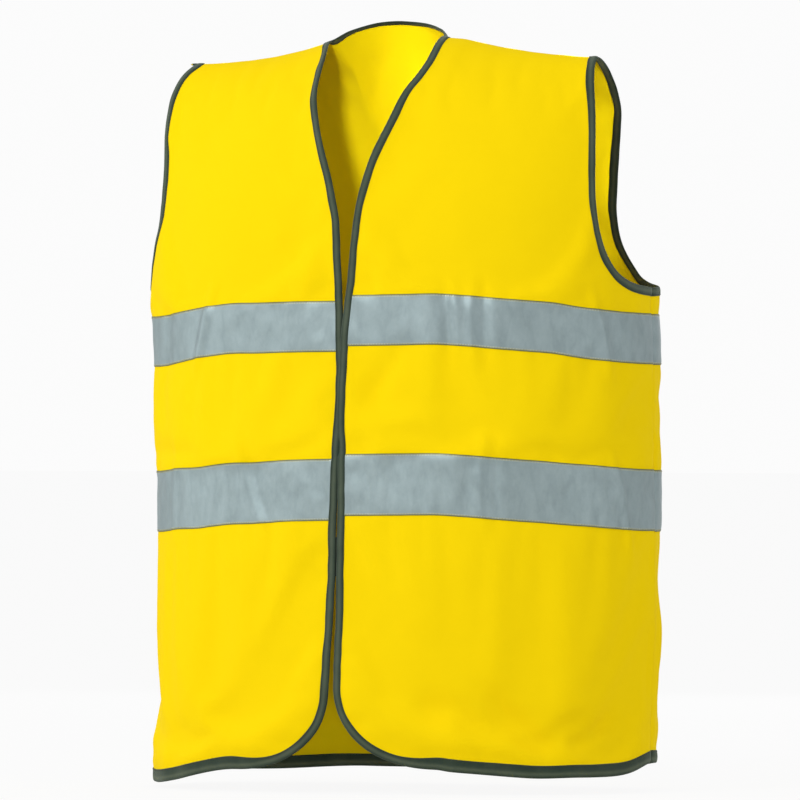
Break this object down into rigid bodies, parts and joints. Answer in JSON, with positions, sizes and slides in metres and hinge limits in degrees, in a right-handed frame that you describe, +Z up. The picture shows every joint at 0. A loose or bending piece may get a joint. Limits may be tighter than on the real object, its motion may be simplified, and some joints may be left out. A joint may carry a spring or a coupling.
{
  "type": "high visibility vest",
  "caption": "Sleeveless high visibility vest with a front opening, bound edges, reflective bands around the chest and waist, and hook and loop closures.",
  "frame": {"origin": "Bottom centre of the bounding box: z = 0 at the lowest point of the hem, x = 0 on the middle of the front opening and of the back, y = 0 midway between the front and the back.", "axes": "+Z is up, from hem to neck. The front opening faces -Y. +X is the wearer's left."},
  "size_m": [0.5302, 0.2936, 0.7464],
  "materials": {
    "yellow_cloth": "fluorescent yellow warp-knitted polyester, matt",
    "reflective_tape": "silver-grey glass bead retroreflective tape, satin",
    "binding_tape": "dark green-grey woven binding tape, matt",
    "closure_tape": "dark hook and loop tape",
    "label_tape": "plain white satin label tape"
  },
  "bodies": {
    "vest_body": {"back_hem_binding": "binding_tape", "back_lower_band": "reflective_tape", "back_neck_binding": "binding_tape", "back_panel": "yellow_cloth", "back_upper_band": "reflective_tape", "left_back_armhole_binding": "binding_tape", "left_front_armhole_binding": "binding_tape", "left_neck_binding": "binding_tape", "left_shoulder_seam": "yellow_cloth", "left_side_front_lower_band": "reflective_tape", "left_side_front_panel": "yellow_cloth", "left_side_front_upper_band": "reflective_tape", "left_side_hem_binding": "binding_tape", "left_side_seam": "yellow_cloth", "right_back_armhole_binding": "binding_tape", "right_front_armhole_binding": "binding_tape", "right_neck_binding": "binding_tape", "right_shoulder_seam": "yellow_cloth", "right_side_front_lower_band": "reflective_tape", "right_side_front_panel": "yellow_cloth", "right_side_front_upper_band": "reflective_tape", "right_side_hem_binding": "binding_tape", "right_side_seam": "yellow_cloth"},
    "left_front": {"left_front_panel": "yellow_cloth", "left_front_binding": "binding_tape", "left_front_upper_band": "reflective_tape", "left_front_lower_band": "reflective_tape", "upper_loop_patch": "closure_tape", "lower_loop_patch": "closure_tape"},
    "right_front": {"right_front_panel": "yellow_cloth", "right_front_binding": "binding_tape", "right_front_upper_band": "reflective_tape", "right_front_lower_band": "reflective_tape", "upper_hook_tab": "closure_tape", "lower_hook_tab": "closure_tape"},
    "care_label": {"care_label": "label_tape"}
  },
  "joints": [
    {"name": "left_front_swing", "type": "hinge", "parent": "vest_body", "child": "left_front", "pos_m": [0.2028, -0.1295, 0.0096], "axis": [-0.2123, 0, 0.9772], "range_deg": [0, 80]},
    {"name": "right_front_swing", "type": "hinge", "parent": "vest_body", "child": "right_front", "pos_m": [-0.2028, -0.1295, 0.0027], "axis": [-0.2106, 0, -0.9776], "range_deg": [0, 80], "deforming": ["upper_hook_tab", "lower_hook_tab"]},
    {"name": "care_label_flip", "type": "hinge", "parent": "vest_body", "child": "care_label", "pos_m": [0.2555, 0.0335, 0.15], "axis": [0, 0, 1], "range_deg": [0, 70]}
  ]
}
